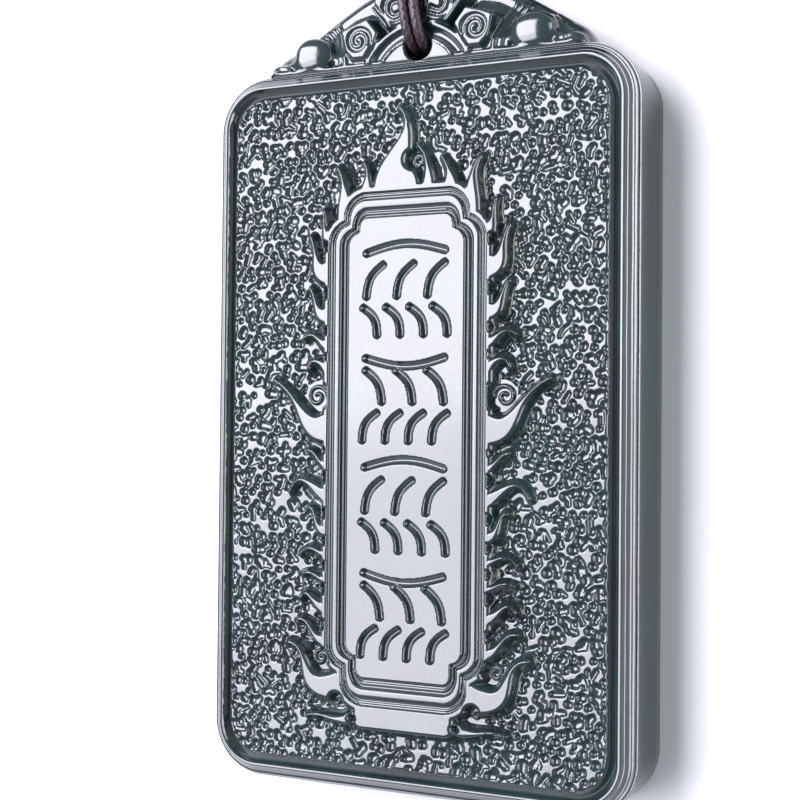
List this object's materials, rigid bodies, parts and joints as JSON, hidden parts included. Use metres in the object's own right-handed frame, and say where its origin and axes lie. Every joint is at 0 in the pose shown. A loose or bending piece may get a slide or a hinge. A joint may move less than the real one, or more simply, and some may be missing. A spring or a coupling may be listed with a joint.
{
  "type": "jade pendant",
  "caption": "Rectangular jade tablet pendant, carved in relief on its face, with a pierced shaped crest, lying flat with its braided cord coiled above it.",
  "frame": {"origin": "on the surface the tablet lies on, under the middle of the jade's width and height", "axes": "+Z out of the carved face, which looks up; +Y along the tablet towards the crest; X across the tablet"},
  "size_m": [0.04, 0.0879, 0.009],
  "materials": {
    "jade": "polished dark green jade",
    "cord": "braided dark brown silk cord"
  },
  "bodies": {
    "root": {"jade_pendant": "jade", "cord_strand_left": "cord", "cord_strand_right": "cord", "cord_knot": "cord", "cord_lead_out": "cord", "cord_coil": "cord", "cord_lead_back": "cord"}
  },
  "joints": []
}
